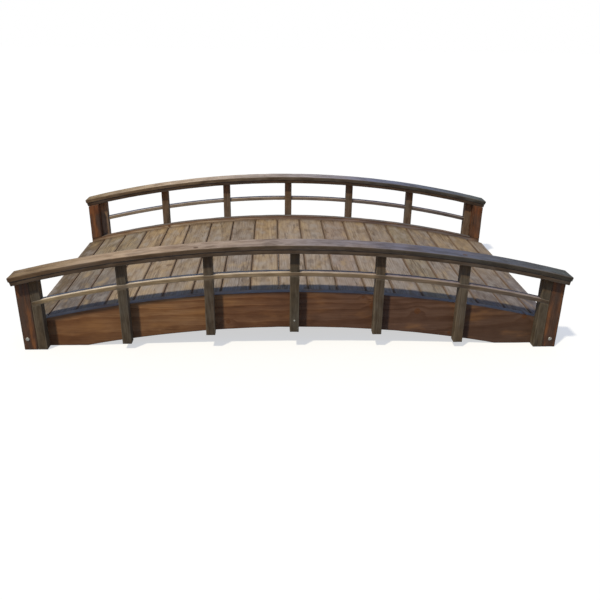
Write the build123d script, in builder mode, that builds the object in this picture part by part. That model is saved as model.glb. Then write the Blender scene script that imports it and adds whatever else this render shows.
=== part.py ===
from build123d import *
from math import asin, cos, sin, sqrt
import os

# A low arched timber garden bridge, in millimetres.
# X runs along the span, Y across the walkway and Z up. The origin is on the ground at mid span.

# Side beams: wide boards on edge, sawn to an arch above and below, with flat feet at both ends
beam_length = 2609
beam_thickness = 38
beam_crown = 282
beam_radius = 5385
arch_crown = 94
arch_radius = 5507

# Deck: flat planks laid across the span between the beams, a little below their top edges
plank_length = 1268
plank_width = 140
plank_thickness = 38
plank_gap = 4.6
plank_edge_round = 3
plank_end_gap = 1
narrowest_end_plank = 60
deck_end_overhang = 20
deck_drop = 19

# Bearers: bent strips on the beams' inner faces, under the ends of the planks
bearer_width = 38
bearer_height = 45
bearer_end_setback = 15

# Posts: square uprights on the beams' outer faces
post_width = 44.5
post_depth = 44.5
post_drop = 6
bay_count = 6

# End posts: heavier uprights, rebated so that their inner half stands on the beam
end_post_width = 66

# Handrail: a cap bent over an under-rail that is nearly as wide
rail_crown = 542
rail_radius = 5520
cap_width = 101.6
cap_thickness = 21
cap_end_overhang = 20
cap_edge_round = 3
under_rail_width = 97
under_rail_thickness = 22
under_rail_end_overhang = 11

# Mid rail: a bent strip let into the posts' outer faces, flush with them
mid_rail_crown = 400
mid_rail_radius = 5251
mid_rail_height = 21
mid_rail_depth = 38

# Clearance where a curved piece seats on another, and the overrun of cuts
seat_clearance = 0.3
cut_overrun = 10

# Places that follow from the sizes above
beam_inner_y = plank_length / 2 + plank_end_gap
beam_outer_y = beam_inner_y + beam_thickness
post_outer_y = beam_outer_y + post_depth
post_middle_y = beam_outer_y + post_depth / 2
beam_end_x = beam_length / 2
end_post_inner_x = beam_end_x - end_post_width
foot_start_x = sqrt(arch_radius**2 - (arch_radius - arch_crown) ** 2)
deck_radius = beam_radius - deck_drop
deck_crown = beam_crown - deck_drop
under_rail_crown = rail_crown - cap_thickness
under_rail_radius = rail_radius - cap_thickness
post_top_crown = under_rail_crown - under_rail_thickness - seat_clearance
post_top_radius = under_rail_radius - under_rail_thickness - seat_clearance

os.makedirs("parts", exist_ok=True)


def arc_height(crown, radius, x):
    return crown - radius + sqrt(radius**2 - x**2)


def arc_point(crown, radius, x):
    return (x, arc_height(crown, radius, x))


def save_pair(piece, front_node, back_node):
    with BuildPart() as front:
        add(piece)
    front.part.label = front_node
    export_step(front.part, f"parts/{front_node}.step")
    with BuildPart() as back:
        mirror(piece, about=Plane.XZ)
    back.part.label = back_node
    export_step(back.part, f"parts/{back_node}.step")


# A strip bent to an arc, with its ends cut square to the bend
def bent_strip(crown, radius, thickness, half_length, width, middle_y, edge_round):
    centre_z = crown - radius
    half_angle = asin(half_length / radius)
    inner_radius = radius - thickness
    top_end = (half_length, centre_z + radius * cos(half_angle))
    low_end = (inner_radius * sin(half_angle), centre_z + inner_radius * cos(half_angle))
    with BuildPart() as strip:
        with BuildSketch(Plane.XZ.offset(middle_y - width / 2)):
            with BuildLine():
                ThreePointArc((-top_end[0], top_end[1]), (0, crown), top_end)
                Line(top_end, low_end)
                ThreePointArc(low_end, (0, crown - thickness), (-low_end[0], low_end[1]))
                Line((-low_end[0], low_end[1]), (-top_end[0], top_end[1]))
            make_face()
        extrude(amount=width)
        if edge_round > 0:
            fillet(strip.faces().sort_by(Axis.Z)[-1].edges(), radius=edge_round)
    return strip.part


# A post's upright, from a flat foot up to the underside of the handrail
def post_upright(left_x, right_x, foot_z, inner_y, depth):
    middle_x = (left_x + right_x) / 2
    with BuildPart() as upright:
        with BuildSketch(Plane.XZ.offset(inner_y)):
            with BuildLine():
                Polyline(
                    arc_point(post_top_crown, post_top_radius, left_x),
                    (left_x, foot_z),
                    (right_x, foot_z),
                    arc_point(post_top_crown, post_top_radius, right_x),
                )
                ThreePointArc(
                    arc_point(post_top_crown, post_top_radius, left_x),
                    arc_point(post_top_crown, post_top_radius, middle_x),
                    arc_point(post_top_crown, post_top_radius, right_x),
                )
            make_face()
        extrude(amount=depth)
    return upright.part


# Side beams
with BuildPart() as side_beam:
    with BuildSketch(Plane.XZ.offset(beam_inner_y)):
        with BuildLine():
            ThreePointArc(
                arc_point(beam_crown, beam_radius, -beam_end_x),
                (0, beam_crown),
                arc_point(beam_crown, beam_radius, beam_end_x),
            )
            Polyline(
                arc_point(beam_crown, beam_radius, beam_end_x),
                (beam_end_x, 0),
                (foot_start_x, 0),
            )
            ThreePointArc((foot_start_x, 0), (0, arch_crown), (-foot_start_x, 0))
            Polyline(
                (-foot_start_x, 0),
                (-beam_end_x, 0),
                arc_point(beam_crown, beam_radius, -beam_end_x),
            )
        make_face()
    extrude(amount=beam_thickness)
save_pair(side_beam.part, "front_side_beam", "back_side_beam")

# Bearers under the planks
bearer = bent_strip(
    deck_crown - plank_thickness - seat_clearance,
    deck_radius - plank_thickness - seat_clearance,
    bearer_height,
    beam_end_x - bearer_end_setback,
    bearer_width,
    beam_inner_y - bearer_width / 2,
    0,
)
save_pair(bearer, "front_bearer", "back_bearer")

# Deck planks, each one flat and square to the arc at its middle, with places measured along the arc.
# One plank lies at mid span, and the two end ones are ripped to the width that is left.
deck_centre_z = deck_crown - deck_radius
deck_end_place = deck_radius * asin((beam_end_x + deck_end_overhang) / deck_radius)
plank_pitch = plank_width + plank_gap
side_plank_count = int((deck_end_place - narrowest_end_plank) / plank_pitch - 1 / 2)
end_plank_width = deck_end_place - (side_plank_count + 1 / 2) * plank_pitch - plank_gap / 2
end_plank_place = deck_end_place - end_plank_width / 2
plank_places = [(-end_plank_place, end_plank_width)]
for row in range(-side_plank_count, side_plank_count + 1):
    plank_places.append((row * plank_pitch, plank_width))
plank_places.append((end_plank_place, end_plank_width))

for number, (place, width) in enumerate(plank_places, start=1):
    angle = place / deck_radius
    top_middle = (deck_radius * sin(angle), 0, deck_centre_z + deck_radius * cos(angle))
    across_plank = (cos(angle), 0, -sin(angle))
    plank_top = Plane(origin=top_middle, x_dir=across_plank, z_dir=(sin(angle), 0, cos(angle)))
    with BuildPart() as plank:
        with BuildSketch(plank_top):
            Rectangle(width, plank_length)
        extrude(amount=-plank_thickness)
        fillet(plank.edges().filter_by(Axis.Y), radius=plank_edge_round)
    plank.part.label = f"plank_{number:02d}"
    export_step(plank.part, f"parts/plank_{number:02d}.step")

# Standard posts, notched on the outer face for the mid rail; the outermost stand against the end posts
last_post_x = end_post_inner_x - post_width / 2
post_pitch = 2 * last_post_x / bay_count
post_places = [bay * post_pitch - last_post_x for bay in range(bay_count + 1)]

notch_top_crown = mid_rail_crown + seat_clearance
notch_top_radius = mid_rail_radius + seat_clearance
notch_low_crown = mid_rail_crown - mid_rail_height - seat_clearance
notch_low_radius = mid_rail_radius - mid_rail_height - seat_clearance

for number, place in enumerate(post_places, start=1):
    left_x = place - post_width / 2
    right_x = place + post_width / 2
    notch_left_x = left_x - cut_overrun
    notch_right_x = right_x + cut_overrun
    if abs(place) < foot_start_x:
        foot_z = arc_height(arch_crown, arch_radius, place) - post_drop
    else:
        foot_z = 0
    with BuildPart() as post:
        add(post_upright(left_x, right_x, foot_z, beam_outer_y, post_depth))
        with BuildSketch(Plane.XZ.offset(post_outer_y + cut_overrun)):
            with BuildLine():
                ThreePointArc(
                    arc_point(notch_top_crown, notch_top_radius, notch_left_x),
                    arc_point(notch_top_crown, notch_top_radius, place),
                    arc_point(notch_top_crown, notch_top_radius, notch_right_x),
                )
                Line(
                    arc_point(notch_top_crown, notch_top_radius, notch_right_x),
                    arc_point(notch_low_crown, notch_low_radius, notch_right_x),
                )
                ThreePointArc(
                    arc_point(notch_low_crown, notch_low_radius, notch_right_x),
                    arc_point(notch_low_crown, notch_low_radius, place),
                    arc_point(notch_low_crown, notch_low_radius, notch_left_x),
                )
                Line(
                    arc_point(notch_low_crown, notch_low_radius, notch_left_x),
                    arc_point(notch_top_crown, notch_top_radius, notch_left_x),
                )
            make_face()
        extrude(amount=-(mid_rail_depth + seat_clearance + cut_overrun), mode=Mode.SUBTRACT)
    save_pair(post.part, f"front_post_{number}", f"back_post_{number}")

# End posts: the outer half runs down to the ground, the inner half stands on the beam's top edge
seat_crown = beam_crown + seat_clearance
seat_radius = beam_radius + seat_clearance
for hand, direction in (("left", -1), ("right", 1)):
    left_x = min(direction * end_post_inner_x, direction * beam_end_x)
    right_x = left_x + end_post_width
    seat_left_x = left_x - cut_overrun
    seat_right_x = right_x + cut_overrun
    with BuildPart() as end_post:
        add(post_upright(left_x, right_x, 0, beam_inner_y, beam_thickness + post_depth))
        with BuildSketch(Plane.XZ.offset(beam_outer_y)):
            with BuildLine():
                ThreePointArc(
                    arc_point(seat_crown, seat_radius, seat_left_x),
                    arc_point(seat_crown, seat_radius, (left_x + right_x) / 2),
                    arc_point(seat_crown, seat_radius, seat_right_x),
                )
                Polyline(
                    arc_point(seat_crown, seat_radius, seat_right_x),
                    (seat_right_x, -cut_overrun),
                    (seat_left_x, -cut_overrun),
                    arc_point(seat_crown, seat_radius, seat_left_x),
                )
            make_face()
        extrude(amount=-(beam_thickness + cut_overrun), mode=Mode.SUBTRACT)
    save_pair(end_post.part, f"front_end_post_{hand}", f"back_end_post_{hand}")

# Mid rails, from end post to end post
mid_rail_end_x = end_post_inner_x - seat_clearance
mid_rail_low_crown = mid_rail_crown - mid_rail_height
mid_rail_low_radius = mid_rail_radius - mid_rail_height
with BuildPart() as mid_rail:
    with BuildSketch(Plane.XZ.offset(post_outer_y - mid_rail_depth)):
        with BuildLine():
            ThreePointArc(
                arc_point(mid_rail_crown, mid_rail_radius, -mid_rail_end_x),
                (0, mid_rail_crown),
                arc_point(mid_rail_crown, mid_rail_radius, mid_rail_end_x),
            )
            Line(
                arc_point(mid_rail_crown, mid_rail_radius, mid_rail_end_x),
                arc_point(mid_rail_low_crown, mid_rail_low_radius, mid_rail_end_x),
            )
            ThreePointArc(
                arc_point(mid_rail_low_crown, mid_rail_low_radius, mid_rail_end_x),
                (0, mid_rail_low_crown),
                arc_point(mid_rail_low_crown, mid_rail_low_radius, -mid_rail_end_x),
            )
            Line(
                arc_point(mid_rail_low_crown, mid_rail_low_radius, -mid_rail_end_x),
                arc_point(mid_rail_crown, mid_rail_radius, -mid_rail_end_x),
            )
        make_face()
    extrude(amount=mid_rail_depth)
save_pair(mid_rail.part, "front_mid_rail", "back_mid_rail")

# Handrails: the under-rail lies on the post tops and the cap lies on the under-rail
under_rail = bent_strip(
    under_rail_crown,
    under_rail_radius,
    under_rail_thickness,
    beam_end_x + under_rail_end_overhang,
    under_rail_width,
    post_middle_y,
    0,
)
save_pair(under_rail, "front_under_rail", "back_under_rail")

cap = bent_strip(
    rail_crown,
    rail_radius,
    cap_thickness,
    beam_end_x + cap_end_overhang,
    cap_width,
    post_middle_y,
    cap_edge_round,
)
save_pair(cap, "front_handrail_cap", "back_handrail_cap")
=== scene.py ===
import math
import random
from functools import partial

import bpy
from mathutils import Matrix, Vector, noise


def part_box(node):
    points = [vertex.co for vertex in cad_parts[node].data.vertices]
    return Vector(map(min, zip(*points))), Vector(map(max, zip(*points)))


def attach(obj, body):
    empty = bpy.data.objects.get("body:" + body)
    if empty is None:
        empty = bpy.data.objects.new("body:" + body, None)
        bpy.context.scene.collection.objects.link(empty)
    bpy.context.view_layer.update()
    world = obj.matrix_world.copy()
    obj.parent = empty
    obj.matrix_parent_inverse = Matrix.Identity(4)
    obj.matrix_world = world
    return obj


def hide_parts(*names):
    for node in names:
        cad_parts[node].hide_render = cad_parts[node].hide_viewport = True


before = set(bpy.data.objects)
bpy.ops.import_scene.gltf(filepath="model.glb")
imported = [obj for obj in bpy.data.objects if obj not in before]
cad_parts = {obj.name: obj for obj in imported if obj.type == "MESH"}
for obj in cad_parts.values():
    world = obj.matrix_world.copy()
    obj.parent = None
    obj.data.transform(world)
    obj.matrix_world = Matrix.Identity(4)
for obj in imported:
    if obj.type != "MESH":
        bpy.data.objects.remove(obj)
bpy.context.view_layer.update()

mm = 0.001
sides = {"front": -1, "back": 1}  # each railing, and the way its outer face looks along Y
print("frame loaded:", len(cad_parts), "nodes")

# The bridge's bent and sawn lines: height at mid span and radius
arcs = {
    "beamTop": (282 * mm, 5385 * mm),
    "beamArch": (94 * mm, 5507 * mm),
    "deck": (263 * mm, 5366 * mm),
    "bearerTop": (224.7 * mm, 5327.7 * mm),
    "capTop": (542 * mm, 5520 * mm),
    "underRailTop": (521 * mm, 5499 * mm),
    "postTop": (498.7 * mm, 5476.7 * mm),
    "midRailTop": (400 * mm, 5251 * mm),
}


# height of an arc at x, or of the line that runs a set depth below it
def arcHeight(arc, x, lower=0.0):
    crown, radius = arcs[arc]
    return crown - radius + math.sqrt((radius - lower) ** 2 - x * x)


def toLinear(hexColour):
    values = [int(hexColour[i:i + 2], 16) / 255 for i in (1, 3, 5)]
    return [v / 12.92 if v <= 0.04045 else ((v + 0.055) / 1.055) ** 2.4 for v in values] + [1.0]


# Adds one node: inputs by place or by name, stops for a colour ramp; gives back one of its outputs
def addNode(tree, kind, inputs=(), out=0, stops=(), **settings):
    node = tree.nodes.new("ShaderNode" + kind)
    for key, value in settings.items():
        setattr(node, key, value)
    for socket, value in inputs.items() if isinstance(inputs, dict) else enumerate(inputs):
        if isinstance(value, bpy.types.NodeSocket):
            tree.links.new(value, node.inputs[socket])
        else:
            node.inputs[socket].default_value = value
    for i, (place, colour) in enumerate(stops):
        element = node.color_ramp.elements[i] if i < 2 else node.color_ramp.elements.new(place)
        element.position, element.color = place, toLinear(colour)
    return node.outputs[out] if node.outputs else node


# An empty material, and the call that adds a node to it
def newMaterial(name):
    material = bpy.data.materials.new(name)
    material.use_nodes = True
    material.node_tree.nodes.clear()
    return material, partial(addNode, material.node_tree)


# Settings that several nodes share; a colour mix has its share at input 0 and its colours at 6 and 7
smooth = {"interpolation_type": "SMOOTHSTEP"}
mixed = {"out": 2, "data_type": "RGBA"}
multiplied = {**mixed, "blend_type": "MULTIPLY"}

# How the figure of every wood is drawn; a pair says where an effect is still nothing and where it is full
figure = {
    # noise fields, each stretched along the grain: length and width in mm, detail, roughness
    "fields": {"drift": (520, 90, 2, 0.5), "ripple": (150, 28, 3, 0.5), "crackLine": (330, 15, 2, 0.4),
               "crackPlace": (420, 60, 1, 0.5)},
    # noise fields whose length and width each wood sets: detail, roughness
    "ownFields": {"fibre": (4, 0.62), "mottle": (3, 0.55), "blotch": (3, 0.6), "streak": (3, 0.6),
                  "stain": (2, 0.5)},
    "fieldMiddle": 0.5,  # a noise field's mean
    "knotSizes": (0.5, 1.3),  # the smallest and largest knots, as shares of the wood's knot size
    "knotRim": (1.25, 0.8), "swirlRim": (4.5, 0.8),  # in knot radii
    "knotRing": 2.6, "knotRingDark": (0.3, 0.9),  # mm, and shares of a ring
    "lateStart": (0.3, 0.86), "lateStop": (1, 0.92),  # shares of a growth ring
    "crackStart": 0.06,  # how far past its onset a check is full
    "crackCore": 0.3,  # the share of a check's width where it is full
    "topTurn": (0.45, 0.85),  # how far a face looks up before it weathers as a top
    "edgeBreak": 0.9,  # how much the ripple breaks up a worn edge
    # what each weathered colour follows, and where it is nothing and full
    "patches": {"fibre": ("fibre", 0.62, 0.34), "mottle": ("mottle", 0.4, 0.66),
                "grey": ("blotch", 0.47, 0.72), "warm": ("blotch", 0.5, 0.27),
                "streak": ("streak", 0.52, 0.7), "stain": ("stain", 0.56, 0.72),
                "edge": ("worn", 0.95, 1.5)},
    "darkening": ("lateWood", "fibre", "mottle", "stain", "endGrain"),  # colours that multiply
    "knotRelief": 0.5, "crackRelief": -1.2, "reliefHeight": 1.2 * mm,
    "roughField": (0.3, 0.7), "roughSpread": 0.07,
}


# Wood: growth rings are drawn round a pith that runs beside the board, so faces show flame figure and
# straight grain, and sawn ends show arcs. Rings and fibres are drawn coarser than real ones, so that they
# show. The grain attribute holds millimetres along, across and through the board.
def woodMaterial(name, look):
    material, add = newMaterial(name)
    grain = add("Attribute", out="Vector", attribute_name="grain")
    tone = add("Attribute", out="Color", attribute_name="tone")
    wear = add("Attribute", out="Vector", attribute_name="wear")
    along, across, through = add("SeparateXYZ", [grain]).node.outputs
    edge, end, share = add("SeparateXYZ", [wear]).node.outputs

    fields = {}
    ownFields = {field: (*look[field + "Size"], *grit) for field, grit in figure["ownFields"].items()}
    for field, (length, width, detail, rough) in {**figure["fields"], **ownFields}.items():
        spread = add("VectorMath", [grain, (1 / length, 1 / width, 1 / width)], operation="MULTIPLY")
        inputs = {"Vector": spread, "Scale": 1, "Detail": detail, "Roughness": rough}
        fields[field] = add("TexNoise", inputs)

    # knots: branches that run through the board, with the grain bending round them
    cell = look["knotSpacing"]
    spread = add("VectorMath", [grain, (1 / cell, 1 / cell, 0)], operation="MULTIPLY")
    cells = add("TexVoronoi", {"Vector": spread, "Scale": 1}, voronoi_dimensions="2D").node.outputs
    chance, sizeShare, _ = add("SeparateColor", [cells["Color"]]).node.outputs
    isKnot = add("Math", [chance, look["knotShare"]], operation="LESS_THAN")
    smallest, largest = (look["knotSize"] * size for size in figure["knotSizes"])
    knotSize = add("MapRange", [sizeShare, 0, 1, smallest, largest], **smooth)
    knotAway = add("Math", [cells["Distance"], cell], operation="MULTIPLY")
    knotReach = add("Math", [knotAway, knotSize], operation="DIVIDE")
    knotRim = add("MapRange", [knotReach, *figure["knotRim"]], **smooth)
    knot = add("Math", [isKnot, knotRim], operation="MULTIPLY")
    swirlRim = add("MapRange", [knotReach, *figure["swirlRim"]], **smooth)
    swirl = add("Math", [isKnot, swirlRim], operation="MULTIPLY")

    # growth rings, with dark late wood that ends sharply
    sideTilt, depthTilt = look["pithTilt"]
    drifted = add("Math", [fields["drift"], look["ringDrift"], across], operation="MULTIPLY_ADD")
    sideways = add("Math", [along, sideTilt, drifted], operation="MULTIPLY_ADD")
    bent = add("Math", [swirl, look["knotSwirl"], through], operation="MULTIPLY_ADD")
    tilted = add("Math", [along, depthTilt, bent], operation="MULTIPLY_ADD")
    depth = add("Math", [tilted, look["pithDepth"]], operation="ADD")
    radius = add("VectorMath", [add("CombineXYZ", [sideways, depth])], "Value", operation="LENGTH")
    rippled = add("Math", [fields["ripple"], look["ringRipple"], radius], operation="MULTIPLY_ADD")
    ring = add("Math", [add("Math", [rippled, look["ringWidth"]], operation="DIVIDE")], operation="FRACT")
    lateStart = add("MapRange", [ring, *figure["lateStart"]], **smooth)
    lateStop = add("MapRange", [ring, *figure["lateStop"]], **smooth)
    lateWood = add("Math", [lateStart, lateStop], operation="MULTIPLY")

    # checks: dry splits along the grain, drawn wide enough to show
    onset, width = look["crackOnset"], look["crackWidth"]
    crackOff = add("Math", [fields["crackLine"], figure["fieldMiddle"]], operation="SUBTRACT")
    crackAway = add("Math", [crackOff], operation="ABSOLUTE")
    crackHere = add("MapRange", [fields["crackPlace"], onset, onset + figure["crackStart"]], **smooth)
    crackLine = add("MapRange", [crackAway, width, width * figure["crackCore"]], **smooth)
    crack = add("Math", [crackLine, crackHere], operation="MULTIPLY")

    # colour: faces and weathered upper sides drift along the board, and each board has its tone
    blotchOff = add("Math", [fields["blotch"], figure["fieldMiddle"]], operation="SUBTRACT")
    drift = add("Math", [blotchOff, look["fadeBreak"], share], operation="MULTIPLY_ADD")
    face = add("ValToRGB", [drift], stops=look["fade"])
    top = add("ValToRGB", [drift], stops=look["topFade"])
    upward = add("SeparateXYZ", [add("NewGeometry", out="Normal")], 2)
    isTop = add("MapRange", [upward, *figure["topTurn"]], **smooth)
    colour = add("Mix", {0: isTop, 6: face, 7: top}, **mixed)
    colour = add("Mix", {0: 1.0, 6: colour, 7: tone}, **multiplied)

    # then figure, weathered patches, worn edges, dark ends and checks, one over the other
    fields["worn"] = add("Math", [fields["ripple"], figure["edgeBreak"], edge], operation="MULTIPLY_ADD")
    masks = {"lateWood": add("Math", [lateWood, look["ringStrength"]], operation="MULTIPLY")}
    for hue, (field, none, full) in figure["patches"].items():
        masks[hue] = add("MapRange", [fields[field], none, full, 0, look[hue + "Strength"]], **smooth)
    masks["endGrain"] = add("Math", [end, look["endStrength"]], operation="MULTIPLY")
    masks["crack"] = add("Math", [crack, look["crackStrength"]], operation="MULTIPLY")
    for hue, mask in masks.items():
        way = multiplied if hue in figure["darkening"] else mixed
        colour = add("Mix", {0: mask, 6: colour, 7: toLinear(look[hue])}, **way)
    knotRings = add("Math", [knotAway, figure["knotRing"]], operation="DIVIDE")
    knotRing = add("Math", [knotRings], operation="FRACT")
    ringDark = add("MapRange", [knotRing, *figure["knotRingDark"]], **smooth)
    knotColours = {6: toLinear(look["knot"]), 7: toLinear(look["knotDark"])}
    knotColour = add("Mix", {0: ringDark, **knotColours}, **mixed)
    knotMask = add("Math", [knot, look["knotStrength"]], operation="MULTIPLY")
    colour = add("Mix", {0: knotMask, 6: colour, 7: knotColour}, **mixed)

    # relief: hard late wood and knots stand proud of the worn early wood, checks are deep
    relief = add("Math", [fields["fibre"], look["fibreRelief"]], operation="MULTIPLY")
    relief = add("Math", [lateWood, look["ringRelief"], relief], operation="MULTIPLY_ADD")
    relief = add("Math", [knot, figure["knotRelief"], relief], operation="MULTIPLY_ADD")
    relief = add("Math", [crack, figure["crackRelief"], relief], operation="MULTIPLY_ADD")
    bump = add("Bump", {"Height": relief, "Strength": look["bump"], "Distance": figure["reliefHeight"]})
    smoothest = look["roughness"] - figure["roughSpread"]
    roughest = look["roughness"] + figure["roughSpread"]
    rough = add("MapRange", [fields["fibre"], *figure["roughField"], smoothest, roughest], **smooth)
    shader = add("BsdfPrincipled", {"Base Color": colour, "Roughness": rough, "Normal": bump,
                                    "Specular IOR Level": look["gloss"], "IOR": look["ior"]})
    add("OutputMaterial", [shader])
    return material


# What the woods share, in mm and shares; each wood below states what differs
plainWood = {
    "knotSpacing": 210, "knotShare": 0.3, "knotSize": 15, "knotSwirl": 26, "knotStrength": 0.8,
    "knot": "#5a4130", "knotDark": "#35271d",
    "pithTilt": (0.003, 0.008), "pithDepth": 40, "ringDrift": 60, "ringRipple": 7,
    "ringWidth": 8, "ringStrength": 0.5, "ringRelief": 0.5, "lateWood": "#a08a74",
    "fibreSize": (110, 2.6), "fibreStrength": 0.5, "fibreRelief": 0.6, "fibre": "#9a8672",
    "crackWidth": 0.05, "crackStrength": 0.8, "crack": "#2a211a",
    "blotchSize": (210, 95), "greyStrength": 0.4, "warmStrength": 0.3,
    "streakSize": (600, 20), "streakStrength": 0.25, "streak": "#4b3c30",
    "stainSize": (140, 60), "stainStrength": 0.4, "stain": "#8a7a6c",
    "mottleSize": (70, 26), "mottleStrength": 0.6, "mottle": "#b4aaa2",
    "edgeStrength": 0.3, "endStrength": 0.6, "endGrain": "#7d6a5c",
    "fadeBreak": 0.3, "bump": 0.5, "roughness": 0.82, "gloss": 0.2, "ior": 1.5,
}

# Fir, sawn and left to weather under foot: dry and silvered, with a different tone from board to board
weatheredSawnFir = woodMaterial("weatheredSawnFir", {
    **plainWood,
    "fade": ((0.0, "#8a7863"), (1.0, "#8a7863")), "topFade": ((0.0, "#a2978e"), (1.0, "#a08f7b")),
    "ringStrength": 0.38, "lateWood": "#b09f8e", "fibreStrength": 0.45, "fibre": "#ab9f93",
    "crackOnset": 0.56, "crackWidth": 0.06, "crackStrength": 0.6, "crack": "#4f4034",
    "blotchSize": (150, 75), "greyStrength": 0.6, "grey": "#9c948e",
    "warmStrength": 0.45, "warm": "#b0966e", "streak": "#7d6c5e",
    "mottleSize": (110, 30), "mottleStrength": 0.45, "mottle": "#b8aca0",
    "edgeStrength": 0.75, "edge": "#6d5847",
    "knotStrength": 0.7, "knot": "#7a6552", "knotDark": "#513f33",
})

# Fir, sawn and stained: orange-brown at the left, running to a dark red-brown at the right
stainedSawnFir = woodMaterial("stainedSawnFir", {
    **plainWood,
    "fade": ((0.0, "#a97850"), (0.28, "#b7885d"), (0.42, "#9a6d4c"), (0.7, "#81604c"), (1.0, "#725846")),
    # the tops' pale slate grey is partly weathering and partly painted sky light, for the near beam's top
    # in the handrail's shadow
    "topFade": ((0.0, "#a39d98"), (1.0, "#959aa3")), "fadeBreak": 0.45,
    "ringWidth": 12, "ringStrength": 0.45, "lateWood": "#a98a70", "fibre": "#b5a08c", "pithDepth": 60,
    "blotchSize": (260, 90), "greyStrength": 0.3, "grey": "#7a5844", "warmStrength": 0.4, "warm": "#bb8550",
    "streakSize": (420, 11), "streakStrength": 0.3, "streak": "#5f402d", "stainStrength": 0.25,
    "knotSpacing": 190, "knotSize": 14, "knotShare": 0.62, "knotSwirl": 7,
    "knot": "#84532f", "knotDark": "#3d271b", "edgeStrength": 0.15, "edge": "#8d6a4e",
    "crackOnset": 0.66, "crackStrength": 0.45, "crack": "#3a2519",
    "mottleSize": (150, 70), "mottleStrength": 0.3, "mottle": "#b39a86",
})

# Fir, stained and greyed outdoors: the posts are a dull grey-brown
greyedStainedFir = woodMaterial("greyedStainedFir", {
    **plainWood,
    "fade": ((0.0, "#756857"), (1.0, "#756857")), "topFade": ((0.0, "#756857"), (1.0, "#756857")),
    "ringWidth": 6, "ringStrength": 0.35, "fibreStrength": 0.4,
    "grey": "#6d685d", "warmStrength": 0.4, "warm": "#7e664a", "streak": "#4f4133", "edge": "#8f806b",
    "knotShare": 0.14, "knotSize": 10, "endStrength": 0.0, "crackOnset": 0.62, "crackStrength": 0.5,
})

# Redwood heart, planed and stained: red-brown, with orange heart and black run marks down the face
redStainedRedwood = woodMaterial("redStainedRedwood", {
    **plainWood,
    "fade": ((0.0, "#735441"), (1.0, "#735441")), "topFade": ((0.0, "#735441"), (1.0, "#735441")),
    "ringWidth": 6, "knotShare": 0.08, "endStrength": 0.0, "crackOnset": 0.64,
    "blotchSize": (180, 30), "greyStrength": 0.65, "grey": "#4c4038",
    "warmStrength": 0.75, "warm": "#9a6238", "roughness": 0.72, "gloss": 0.28,
    "streakSize": (450, 22), "streakStrength": 0.8, "streak": "#231a15",
    "edgeStrength": 0.6, "edge": "#33291f",
})

# Fir, planed and bent: dark stained sides, and tops that run from tan at the left to slate at the right
greyedPlanedFir = woodMaterial("greyedPlanedFir", {
    **plainWood,
    "fade": ((0.0, "#82674c"), (0.5, "#6f5d4c"), (0.75, "#514b43"), (1.0, "#4f4b43")),
    "topFade": ((0.02, "#8f795b"), (0.2, "#c6ae95"), (0.5, "#a69995"), (0.73, "#6a6e86"), (1.0, "#4d5457")),
    "fadeBreak": 0.2, "ringWidth": 6, "ringStrength": 0.3, "fibreStrength": 0.4, "endStrength": 0.4,
    "greyStrength": 0.12, "grey": "#85817f", "warmStrength": 0.12, "warm": "#85705a",
    "edgeStrength": 0.15, "edge": "#978a7e", "knotShare": 0.12, "knotSize": 9,
    "crackOnset": 0.62, "crackStrength": 0.4,
})

# Clear fir lath, planed: pale, with tops that run from cream at the left to a mauve grey at the right
planedFirLath = woodMaterial("planedFirLath", {
    **plainWood,
    "fade": ((0.0, "#bfa67f"), (0.5, "#b29877"), (0.7, "#94806a"), (1.0, "#6c5c50")),
    "topFade": ((0.0, "#f6eadb"), (0.45, "#dccdbd"), (0.7, "#9a8f97"), (1.0, "#8c8289")),
    "ringWidth": 5, "ringStrength": 0.25, "fibreStrength": 0.35, "mottleStrength": 0.4,
    "greyStrength": 0.2, "grey": "#b5a99b", "warm": "#b0926a", "streakStrength": 0.1, "stainStrength": 0.25,
    "edgeStrength": 0.25, "edge": "#d8c9b0", "knotShare": 0.06, "knotSize": 6,
    "crackOnset": 0.66, "crackStrength": 0.4,
})

# Steel, hot-dip galvanised: a dull grey skin with a faint crystal spangle
steelSkin = {"spangle": 3 * mm, "tones": ((0.0, "#73736f"), (1.0, "#a2a19c")), "metallic": 0.9,
             "roughness": (0.35, 0.55)}
galvanisedDippedSteel, add = newMaterial("galvanisedDippedSteel")
spangleInputs = {"Vector": add("TexCoord", out="Object"), "Scale": 1 / steelSkin["spangle"]}
spangleTone = add("SeparateColor", [add("TexVoronoi", spangleInputs, "Color")])
steelColour = add("ValToRGB", [spangleTone], stops=steelSkin["tones"])
steelRough = add("MapRange", [spangleTone, 0, 1, *steelSkin["roughness"]])
steel = add("BsdfPrincipled", {"Base Color": steelColour, "Metallic": steelSkin["metallic"],
                               "Roughness": steelRough})
add("OutputMaterial", [steel])
print("materials made")

# Boards: a rounded section carried from one end to the other, with rounded ends and worn faces
arcSteps = 3
featherWidth = 9 * mm  # how far wear reaches from an edge
featherShare = 0.3  # and the most of a narrow face that it takes
cornerWear = 0.5  # wear of a corner that isn't rounded; a rounded edge has 1
grainShift = (9000, 60, 15)  # mm along, across and through: each board is cut from another part of the log
nicksPerWave = 2.5
nickOffset = Vector((7, 3, 1))  # keeps the nicks from following the waves
sharpAngle = math.radians(50)
plainTone = (1, 1, 1)


def straightPlace(along, a, b):
    return Vector((along, a, b))


def plainTint(along, a, b):
    return plainTone


# a tone that is full at one place, gone at another and fades between them
def fadedTone(tone, place, full, none):
    amount = min(1.0, max(0.0, (none - place) / (none - full)))
    return [1 + (part - 1) * amount for part in tone]


def boxCorners(lowA, lowB, highA, highB):
    return [Vector((lowA, lowB)), Vector((highA, lowB)), Vector((highA, highB)), Vector((lowA, highB))]


def shrinkCorners(corners, amount):
    moved = []
    for i, corner in enumerate(corners):
        before = (corner - corners[i - 1]).normalized()
        after = (corners[(i + 1) % len(corners)] - corner).normalized()
        inA, inB = Vector((-before.y, before.x)), Vector((-after.y, after.x))
        moved.append(corner + (inA + inB) * amount / (1 + inA.dot(inB)))
    return moved


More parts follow.
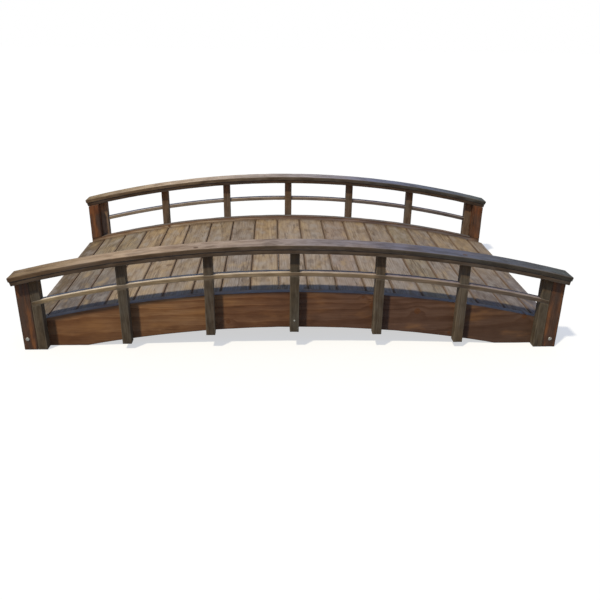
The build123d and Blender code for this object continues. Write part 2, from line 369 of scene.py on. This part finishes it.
# the points round a section, each with its wear; divisions are the points on each flat side
def sectionLoop(corners, rounds, divisions):
    loop = []
    for i, corner in enumerate(corners):
        following = corners[(i + 1) % len(corners)]
        toBefore = (corners[i - 1] - corner).normalized()
        toAfter = (following - corner).normalized()
        if rounds[i] > 0:
            for step in range(arcSteps + 1):
                f = step / arcSteps
                bend = toBefore * rounds[i] * (1 - f) ** 2
                loop.append((corner + bend + toAfter * rounds[i] * f * f, 1.0))
        else:
            loop.append((corner, cornerWear))
        start = corner + toAfter * rounds[i]
        flat = (following - toAfter * rounds[(i + 1) % len(corners)] - start).length
        feather = min(featherWidth, featherShare * flat)
        for k in range(divisions[i]):
            reach = feather + (flat - 2 * feather) * k / max(1, divisions[i] - 1)
            loop.append((start + toAfter * reach, 0.0))
    return loop


def addPiece(name, mesh, material):
    mesh.polygons.foreach_set("use_smooth", [True] * len(mesh.polygons))
    mesh.set_sharp_from_angle(angle=sharpAngle)
    mesh.materials.append(material)
    piece = bpy.data.objects.new(name, mesh)
    bpy.context.scene.collection.objects.link(piece)
    return piece


# board: start, finish, corners, rounds, divisions and perhaps place, grain and tint, in its own directions;
# look: its settings, where fadeSpan is the part of its wood's colour fade that it runs through
def makeBoard(name, node, board, look, material):
    start, finish, steps, endRound = board["start"], board["finish"], look["steps"], look["endRound"]
    stations = [(start, endRound + look["endInset"], 0.0, 1.0)]
    for k in range(arcSteps + 1):
        turn = math.pi / 2 * k / arcSteps
        shrink = endRound * (1 - math.sin(turn))
        stations.append((start + endRound * (1 - math.cos(turn)), shrink, 1.0, 1.0))
    closing = [(start + finish - along, *rest) for along, *rest in reversed(stations)]
    first, last = start + endRound + featherWidth, finish - endRound - featherWidth
    for k in range(steps + 1):
        along = first + (last - first) * k / steps
        nearEnd = max(0.0, 1 - min(along - start, finish - along) / look["endFade"])
        stations.append((along, 0.0, 0.0, nearEnd))
    stations += closing

    dice = random.Random(name)
    shift = Vector([dice.uniform(-reach, reach) for reach in grainShift])
    place, grainPlace = board.get("place", straightPlace), board.get("grain", straightPlace)
    tone, tint = look.get("tone", plainTone), board.get("tint", plainTint)
    points, faces, grains, wears, tones = [], [], [], [], []
    for along, shrink, stationEdge, stationEnd in stations:
        share = 0.5 + look["fadeSpan"] * ((along - start) / (finish - start) - 0.5)
        corners = shrinkCorners(board["corners"](along), shrink)
        loop = sectionLoop(corners, board["rounds"], board["divisions"])
        for spot, edge in loop:
            points.append(place(along, spot.x, spot.y))
            grains.append(Vector(grainPlace(along, spot.x, spot.y)) / mm + shift)
            wears.append((max(edge, stationEdge), stationEnd, share))
            tones += [*(own * part for own, part in zip(tone, tint(along, spot.x, spot.y))), 1.0]
    count = len(loop)
    for ring in range(len(stations) - 1):
        here, there = ring * count, (ring + 1) * count
        for k in range(count):
            n = (k + 1) % count
            faces.append((here + k, here + n, there + n, there + k))
    faces.append(tuple(reversed(range(count))))
    faces.append(tuple(range(len(points) - count, len(points))))

    mesh = bpy.data.meshes.new(name)
    mesh.from_pydata(points, [], faces)
    normals = [vertex.normal.copy() for vertex in mesh.vertices]
    for vertex, normal, grain, wear in zip(mesh.vertices, normals, grains, wears):
        swell = noise.noise(grain / look["wave"]) * 0.5 + 0.5
        nick = max(0.0, noise.noise(grain * nicksPerWave / look["wave"] + nickOffset)) * wear[0]
        vertex.co -= normal * (look["waveDepth"] * swell + look["nickDepth"] * nick)
    for attribute, values in (("grain", grains), ("wear", wears)):
        layer = mesh.attributes.new(attribute, "FLOAT_VECTOR", "POINT")
        layer.data.foreach_set("vector", [part for value in values for part in value])
    layer = mesh.attributes.new("tone", "FLOAT_COLOR", "POINT")
    layer.data.foreach_set("color", tones)
    piece = addPiece(name, mesh, material)
    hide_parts(node)
    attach(piece, "root")


# Deck planks: each board has one of a few tones, in an order matched to the photograph
deckPlanks = {
    "endRound": 2.5 * mm, "edgeRound": 4.5 * mm, "lowRound": 2 * mm, "endInset": 4 * mm, "endFade": 60 * mm,
    "steps": 26, "divisions": (5, 1, 0, 7, 0, 1), "fadeSpan": 1.0,
    "wave": 90, "waveDepth": 0.6 * mm, "nickDepth": 1.2 * mm, "cup": 0.8 * mm,
    "wornDepth": 10 * mm, "lowerSpread": 2.0 * mm,  # edges are worn back, so the gaps are narrower below
    "tones": {"mossy": (0.43, 0.39, 0.32), "olive": (0.86, 0.87, 0.8), "tan": (0.98, 0.95, 0.88),
              "pink": (0.98, 0.94, 0.98), "honey": (1.14, 1.06, 0.9), "pale": (1.1, 1.08, 1.06),
              "grey": (0.9, 0.91, 0.95)},
    "order": "mossy olive olive honey honey tan tan grey honey pale "
             "pale pink pale grey olive grey tan tan grey",
    "seed": 11, "brightness": (0.95, 1.05),
    "dampBoards": ("plank_02", "plank_03", "plank_17", "plank_18", "plank_19"),  # darker and bluer towards their near ends
    "dampTone": (0.55, 0.57, 0.7), "dampReach": (-300 * mm, 150 * mm),
}
plankNodes = sorted(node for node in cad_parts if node.startswith("plank_"))


# darkens and blues these boards from their near ends towards the middle of the deck
def darkNearEndTint(y, a, b):
    return fadedTone(deckPlanks["dampTone"], y, *deckPlanks["dampReach"])


middleLow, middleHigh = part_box(plankNodes[len(plankNodes) // 2])
plankThickness = middleHigh[2] - middleLow[2]
deckCrown, deckRadius = arcs["deck"]
deckCentre = Vector((0, 0, deckCrown - deckRadius))
wornLine = -deckPlanks["wornDepth"]
dice = random.Random(deckPlanks["seed"])
for node, toneName in zip(plankNodes, deckPlanks["order"].split()):
    low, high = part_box(node)
    middle = (Vector(low) + Vector(high)) / 2 - deckCentre
    angle = math.atan2(middle.x, middle.z)  # the board's middle stands square on the deck's arc
    half = ((high[0] - low[0]) - plankThickness * abs(math.sin(angle))) / math.cos(angle) / 2
    outward = Vector((math.sin(angle), 0, math.cos(angle)))
    crosswise = Vector((-math.cos(angle), 0, math.sin(angle)))
    bright = dice.uniform(*deckPlanks["brightness"])

    def placePlank(along, a, b, half=half, outward=outward, crosswise=crosswise):
        sag = deckPlanks["cup"] * (a / half) ** 2 * (1 + b / plankThickness)
        return deckCentre + outward * (deckRadius + b - sag) + crosswise * a + Vector((0, along, 0))

    wide = half + (0 if node in (plankNodes[0], plankNodes[-1]) else deckPlanks["lowerSpread"])
    outline = ((-wide, -plankThickness), (wide, -plankThickness), (wide, wornLine),
               (half, 0), (-half, 0), (-wide, wornLine))
    section = [Vector(spot) for spot in outline]
    makeBoard("deckPlank" + node[-3:], node, {
        "start": low[1], "finish": high[1], "corners": lambda t, section=section: section,
        "rounds": [deckPlanks["lowRound"]] * 2 + [0] + [deckPlanks["edgeRound"]] * 2 + [0],
        "divisions": deckPlanks["divisions"], "place": placePlank,
        "tint": darkNearEndTint if node in deckPlanks["dampBoards"] else plainTint,
    }, {**deckPlanks, "tone": [part * bright for part in deckPlanks["tones"][toneName]]}, weatheredSawnFir)
print("deck planks laid:", len(plankNodes))

# Side beams: sawn from straight boards, so the grain runs level and the arch cuts across it
sideBeams = {
    "endRound": 2.5 * mm, "edgeRound": 3 * mm, "endInset": 4 * mm, "endFade": 60 * mm,
    "steps": 120, "divisions": (2, 9, 3, 9), "fadeSpan": 1.0,
    "wave": 130, "waveDepth": 0.5 * mm, "nickDepth": 1.5 * mm,
    "inner": (1.6, 2.4, 3.6), "tops": {"front": 1.0, "back": 0.45},  # inner faces paler and bluer, partly unstained wood and partly painted light; the front top is painted paler than the back top, painted light in the handrail's shadow
    "lowTone": (0.8, 0.83, 0.9),  # darker and a little bluer towards the arch
}


# tops take their side's top tone and inner faces the inner tone, both partly painted light; outer faces run
# darker towards the arch
def beamTint(x, y, z, middle, top):
    if z > arcHeight("beamTop", x, sideBeams["edgeRound"]):
        return [top] * 3
    if abs(y) < middle:
        return sideBeams["inner"]
    return fadedTone(sideBeams["lowTone"], z, max(0.0, arcHeight("beamArch", x)), arcHeight("beamTop", x))


for side in sides:
    low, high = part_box(side + "_side_beam")

    def beamCorners(x, low=low, high=high):
        return boxCorners(low[1], max(0.0, arcHeight("beamArch", x)), high[1], arcHeight("beamTop", x))

    makeBoard(side + "SideBeam", side + "_side_beam", {
        "start": low[0], "finish": high[0], "corners": beamCorners, "rounds": [sideBeams["edgeRound"]] * 4,
        "divisions": sideBeams["divisions"], "grain": lambda x, y, z: (x, z, y),
        "tint": partial(beamTint, middle=abs(low[1] + high[1]) / 2, top=sideBeams["tops"][side]),
    }, sideBeams, stainedSawnFir)
print("side beams set up")

# Handrails and bearers: strips bent along an arc and cut square at their ends
handrailCaps = {
    "thickness": 21 * mm, "endRound": 3 * mm, "lowRound": 1 * mm, "topRound": 3.5 * mm,
    "endInset": 3 * mm, "endFade": 40 * mm, "steps": 90, "divisions": (3, 2, 5, 2), "fadeSpan": 1.0,
    "wave": 110, "waveDepth": 0.5 * mm, "nickDepth": 1.2 * mm,
    # painted light: the back caps are tinted paler and bluer than the front ones, standing in for the sky
    # light on the far railing
    "tones": {"front": (1.0, 1.0, 1.0), "back": (1.25, 1.33, 1.38)},
}
underRails = {
    **handrailCaps, "thickness": 22 * mm, "endRound": 2 * mm, "lowRound": 2.5 * mm, "topRound": 1 * mm,
    "fadeSpan": 0.1, "tones": {"front": (1.0, 1.0, 1.0), "back": (0.72, 0.65, 0.6)},
}
bearers = {
    **underRails, "thickness": 45 * mm, "topRound": 2.5 * mm, "steps": 70,
    "tones": {"front": (0.8, 0.8, 0.8), "back": (0.8, 0.8, 0.8)},
}
strips = (("HandrailCap", "_handrail_cap", "capTop", handrailCaps, greyedPlanedFir),
          ("UnderRail", "_under_rail", "underRailTop", underRails, greyedPlanedFir),
          ("Bearer", "_bearer", "bearerTop", bearers, stainedSawnFir))
for side in sides:
    for name, node, arc, look, material in strips:
        low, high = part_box(side + node)
        crown, radius = arcs[arc]
        reach = radius * math.asin(high[0] / radius)

        def placeStrip(along, y, rise, crown=crown, radius=radius):
            turn = along / radius
            height = crown - radius + (radius + rise) * math.cos(turn)
            return Vector(((radius + rise) * math.sin(turn), y, height))

        section = boxCorners(low[1], -look["thickness"], high[1], 0.0)
        makeBoard(side + name, side + node, {
            "start": -reach, "finish": reach, "corners": lambda t, section=section: section,
            "rounds": [look["lowRound"]] * 2 + [look["topRound"]] * 2, "divisions": look["divisions"],
            "place": placeStrip,
        }, {**look, "tone": look["tones"][side]}, material)
print("handrails and bearers bent")

# Mid rails: laths let into the posts, with upright ends against the end posts
midRails = {
    "height": 21 * mm, "endRound": 1 * mm, "edgeRound": 2 * mm, "endInset": 2 * mm, "endFade": 20 * mm,
    "steps": 180, "divisions": (2, 2, 2, 2), "fadeSpan": 1.0,
    "wave": 80, "waveDepth": 0.3 * mm, "nickDepth": 0.8 * mm,
    "stain": (0.55, 0.55, 0.58), "stainReach": (22 * mm, 36 * mm),
    # painted light: the back mid rails are tinted bluer and a little darker, standing in for the sky light
    # on the far railing
    "tones": {"front": (1.0, 1.0, 1.0), "back": (0.8, 0.86, 1.1)},
}
postNumbers = range(1, 8)
postBoxes = [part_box(f"front_post_{number}") for number in postNumbers]
postPlaces = [(low[0] + high[0]) / 2 for low, high in postBoxes]


# mid rails took the posts' stain where they cross them
def railTint(x, y, z):
    away = min(abs(x - place) for place in postPlaces)
    return fadedTone(midRails["stain"], away, *midRails["stainReach"])


for side in sides:
    low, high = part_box(side + "_mid_rail")
    midRailDepth = high[1] - low[1]

    def railCorners(x, low=low, high=high):
        bottom = arcHeight("midRailTop", x, midRails["height"])
        return boxCorners(low[1], bottom, high[1], arcHeight("midRailTop", x))

    makeBoard(side + "MidRail", side + "_mid_rail", {
        "start": low[0], "finish": high[0], "corners": railCorners, "rounds": [midRails["edgeRound"]] * 4,
        "divisions": midRails["divisions"], "tint": railTint,
    }, {**midRails, "tone": midRails["tones"][side]}, planedFirLath)
print("mid rails let in")

# Posts: the section is the post's side view, carried across its width, so the notch follows the mid rail
posts = {
    "endRound": 2 * mm, "edgeRound": 2.5 * mm, "endInset": 0.5 * mm, "endFade": 1 * mm,
    "steps": 3, "divisions": [2, 9, 0, 0, 0, 16, 2, 24], "fadeSpan": 0.0,
    "wave": 70, "waveDepth": 0.5 * mm, "nickDepth": 1.2 * mm, "notchPlay": 0.3 * mm, "notchRound": 1 * mm,
    # a browner, brighter tone close under the handrail: partly stain, partly painted light over the
    # handrail's shadow
    "shelterTone": (1.5, 1.15, 0.8), "shelterReach": (45 * mm, 75 * mm),
    "upperDark": 0.1, "footDark": 0.25, "footReach": 60 * mm,
    "tones": {"front": (1.0, 1.0, 1.0), "back": (1.38, 1.18, 1.1)},
    "own": {"front_post_1": 0.9, "front_post_7": 0.9, "back_post_1": 1.8},  # unlike the rest of their row: front posts 1 and 7 darker; back post 1 painted brighter, painted light over its end post's shadow
    "seed": 23, "brightness": (0.88, 1.12), "hue": (0.97, 1.03),
}
endPosts = {
    **posts, "endRound": 2.5 * mm, "edgeRound": 3 * mm, "endInset": 4 * mm,
    "steps": 5, "divisions": [2, 30, 4, 24, 0, 6], "wave": 90,
    "tones": {"front": (0.9, 0.9, 0.9), "back": (1.3, 1.2, 1.1)},
}


def postCorners(x, turn, inner, outer, foot):
    play = posts["notchPlay"]
    top = arcHeight("postTop", x)
    notchLow = arcHeight("midRailTop", x, midRails["height"]) - play
    notchHigh = arcHeight("midRailTop", x) + play
    notchBack = outer - midRailDepth - play
    outline = [(inner, foot), (outer, foot), (outer, notchLow), (notchBack, notchLow),
               (notchBack, notchHigh), (outer, notchHigh), (outer, top), (inner, top)]
    return [Vector((turn * y, z)) for y, z in outline[::turn]]


def endPostCorners(x, turn, inner, outer, seatOuter):
    seat = arcHeight("beamTop", x) + posts["notchPlay"]
    top = arcHeight("postTop", x)
    outline = [(seatOuter, 0.0), (outer, 0.0), (outer, top), (inner, top), (inner, seat), (seatOuter, seat)]
    return [Vector((turn * y, z)) for y, z in outline[::turn]]


# a mirrored outline runs the other way round, and each side keeps its divisions
def mirroredDivisions(divisions, turn):
    return divisions if turn > 0 else divisions[-2::-1] + divisions[-1:]


# posts are browner and brighter close under the handrail, partly their stain and partly painted light that
# warms and lifts the handrail's shadow there; they are a little duller above the mid rail, and are dark at
# the foot where they stay damp
def postTint(x, y, z, foot):
    stainAndPaintedLight = fadedTone(posts["shelterTone"], arcHeight("postTop", x) - z, *posts["shelterReach"])
    damp = max(0.0, 1 - (z - foot) / posts["footReach"])
    upper = z > arcHeight("midRailTop", x)
    dull = 1 - posts["footDark"] * damp - posts["upperDark"] * upper
    return [part * dull for part in stainAndPaintedLight]


notchRounds = [posts["notchRound"], 0, 0, posts["notchRound"]]
postRounds = [posts["edgeRound"]] * 2 + notchRounds + [posts["edgeRound"]] * 2
endPostRounds = [endPosts["edgeRound"]] * 4 + [endPosts["notchRound"], 0]
dice = random.Random(posts["seed"])
for side, turn in sides.items():  # the front railing mirrors the back one
    beamLow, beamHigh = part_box(side + "_side_beam")
    seatOuter = max(abs(beamLow[1]), abs(beamHigh[1]))
    for number in postNumbers:
        node = f"{side}_post_{number}"
        low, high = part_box(node)
        inner, outer = sorted((abs(low[1]), abs(high[1])))
        bright = dice.uniform(*posts["brightness"]) * posts["own"].get(node, 1.0)
        tone = [bright * part * dice.uniform(*posts["hue"]) for part in posts["tones"][side]]
        makeBoard(f"{side}Post.{number}", node, {
            "start": low[0], "finish": high[0], "rounds": postRounds[::turn],
            "corners": partial(postCorners, turn=turn, inner=inner, outer=outer, foot=low[2]),
            "divisions": mirroredDivisions(posts["divisions"], turn), "grain": lambda x, y, z: (z, x, y),
            "tint": partial(postTint, foot=low[2]),
        }, {**posts, "tone": tone}, greyedStainedFir)
    for hand in ("left", "right"):
        node = f"{side}_end_post_{hand}"
        low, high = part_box(node)
        inner, outer = sorted((abs(low[1]), abs(high[1])))
        makeBoard(f"{side}EndPost.{hand}", node, {
            "start": low[0], "finish": high[0], "rounds": endPostRounds[::turn],
            "corners": partial(endPostCorners, turn=turn, inner=inner, outer=outer, seatOuter=seatOuter),
            "divisions": mirroredDivisions(endPosts["divisions"], turn), "grain": lambda x, y, z: (z, x, y),
            "tint": partial(postTint, foot=low[2]),
        }, {**endPosts, "tone": endPosts["tones"][side]}, redStainedRedwood)
print("posts raised")

# Bolts: galvanised carriage bolts through the feet of the end posts, and a small one in each middle post
bolts = {
    "profile": ((9.5, 0), (9.5, 1.1), (8.8, 2.3), (6.9, 3.6), (4, 4.5), (0, 4.8)),  # radius and rise in mm
    "around": 24,
    "footShare": 1.0, "middleShare": 0.5,  # sizes, as shares of the profile
    "feet": {"left": (22 * mm, 57 * mm), "right": (31 * mm, 45 * mm)},  # inset from the end, and height
    "middleHeight": 62 * mm,
}


def makeBolt(name, place, turn, size):
    points, faces = [], []
    around, scale = bolts["around"], size * mm
    *rings, (_, crownRise) = bolts["profile"]
    for radius, rise in rings:
        for k in range(around):
            angle = 2 * math.pi * k / around
            reach = radius * scale
            points.append((math.cos(angle) * reach, turn * rise * scale, math.sin(angle) * reach))
    points.append((0, turn * crownRise * scale, 0))
    for ring in range(len(rings) - 1):
        here, there = ring * around, (ring + 1) * around
        for k in range(around):
            n = (k + 1) % around
            faces.append((here + k, here + n, there + n, there + k)[::-turn])
    lastRing = (len(rings) - 1) * around
    for k in range(around):
        faces.append((lastRing + k, lastRing + (k + 1) % around, len(points) - 1)[::-turn])
    faces.append(tuple(range(around))[::turn])
    mesh = bpy.data.meshes.new(name)
    mesh.from_pydata(points, [], faces)
    piece = addPiece(name, mesh, galvanisedDippedSteel)
    piece.location = place
    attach(piece, "root")


for side, turn in sides.items():
    low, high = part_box(side + "_end_post_right")
    face = turn * (max(abs(low[1]), abs(high[1])) - endPosts["waveDepth"])
    for hand, way in (("left", -1), ("right", 1)):
        inset, height = bolts["feet"][hand]
        place = (way * (high[0] - inset), face, height)
        makeBolt(f"{side}FootBolt.{hand}", place, turn, bolts["footShare"])
    low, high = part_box(side + "_post_4")
    makeBolt(f"{side}MiddleBolt", (0, face, low[2] + bolts["middleHeight"]), turn, bolts["middleShare"])
print("bolts fitted")

# Stage: a plain pale floor, white to the eye, under one soft key light from the front left and a cool fill
stage = {
    "floorSize": 60, "floorDrop": 1 * mm,  # metres
    "floorSeen": "#f4f4f4", "floorGlow": 1.19, "shadowShare": 0.5, "floorBounce": "#626261",
    "fill": "#a0c4ff", "fillStrength": 0.4,
    "key": (-0.39, -0.415, 1.0), "keyStrength": 2.93, "keySpread": 3.5, "keyColour": "#fff4d8",
}
white = (1, 1, 1, 1)


# 1 for what the eye sees, straight, mirrored or through something clear, and 0 for light that only bounces
def seenRays(add):
    path = add("LightPath").node.outputs
    seen = add("Math", [path["Is Camera Ray"], path["Is Glossy Ray"]], operation="ADD", use_clamp=True)
    return add("Math", [seen, path["Is Transmission Ray"]], operation="ADD", use_clamp=True)


half, drop = stage["floorSize"] / 2, stage["floorDrop"]
floorCorners = [(-half, -half, -drop), (half, -half, -drop), (half, half, -drop), (-half, half, -drop)]
floorMesh = bpy.data.meshes.new("floor")
floorMesh.from_pydata(floorCorners, [], [(0, 1, 2, 3)])
floor = bpy.data.objects.new("floor", floorMesh)
bpy.context.scene.collection.objects.link(floor)
paleFloor, add = newMaterial("paleStudioFloor")
bounce = add("BsdfDiffuse", {"Color": toLinear(stage["floorBounce"])})
lit = add("BsdfDiffuse", {"Color": toLinear(stage["floorSeen"])})
glow = add("Emission", {"Color": white, "Strength": stage["floorGlow"]})
shown = add("MixShader", [stage["shadowShare"], glow, lit])
add("OutputMaterial", [add("MixShader", [seenRays(add), bounce, shown])])
floorMesh.materials.append(paleFloor)

world = bpy.data.worlds.new("coolFill")
bpy.context.scene.world = world
world.use_nodes = True
world.node_tree.nodes.clear()
add = partial(addNode, world.node_tree)
fill = add("Background", {"Color": toLinear(stage["fill"]), "Strength": stage["fillStrength"]})
backdrop = add("Background", {"Color": white, "Strength": 1.0})
add("OutputWorld", [add("MixShader", [seenRays(add), fill, backdrop])])

keyData = bpy.data.lights.new("keyLight", "SUN")
keyData.energy = stage["keyStrength"]
keyData.angle = math.radians(stage["keySpread"])
keyData.color = toLinear(stage["keyColour"])[:3]
key = bpy.data.objects.new("keyLight", keyData)
bpy.context.scene.collection.objects.link(key)
key.rotation_euler = Vector(stage["key"]).to_track_quat("Z", "Y").to_euler()

# Camera: where the photograph was taken from, its lens worked out from a focal length and a frame width in
# pixels
camera = {
    "place": (-104.25 * mm, -3587.7 * mm, 1499.4 * mm),
    "yaw": 0.04522, "pitch": 0.40767, "roll": 0.01500,  # radians
    "focal": 656.05, "frame": 600, "sensor": 36,  # focal length and frame in pixels, sensor in mm
}
cameraData = bpy.data.cameras.new("camera")
cameraData.sensor_width = camera["sensor"]
cameraData.lens = camera["focal"] / camera["frame"] * camera["sensor"]
eye = bpy.data.objects.new("camera", cameraData)
bpy.context.scene.collection.objects.link(eye)
yaw, pitch, roll = camera["yaw"], camera["pitch"], camera["roll"]
ahead = Vector((math.sin(yaw) * math.cos(pitch), math.cos(yaw) * math.cos(pitch), -math.sin(pitch)))
right = Vector((math.cos(yaw), -math.sin(yaw), 0))
up = right.cross(ahead)
rightRolled = right * math.cos(roll) + up * math.sin(roll)
upRolled = up * math.cos(roll) - right * math.sin(roll)
facing = Matrix((rightRolled, upRolled, -ahead)).transposed().to_4x4()
eye.matrix_world = Matrix.Translation(camera["place"]) @ facing
bpy.context.scene.camera = eye
bpy.context.scene.view_settings.view_transform = "Standard"
print("stage, light and camera set")
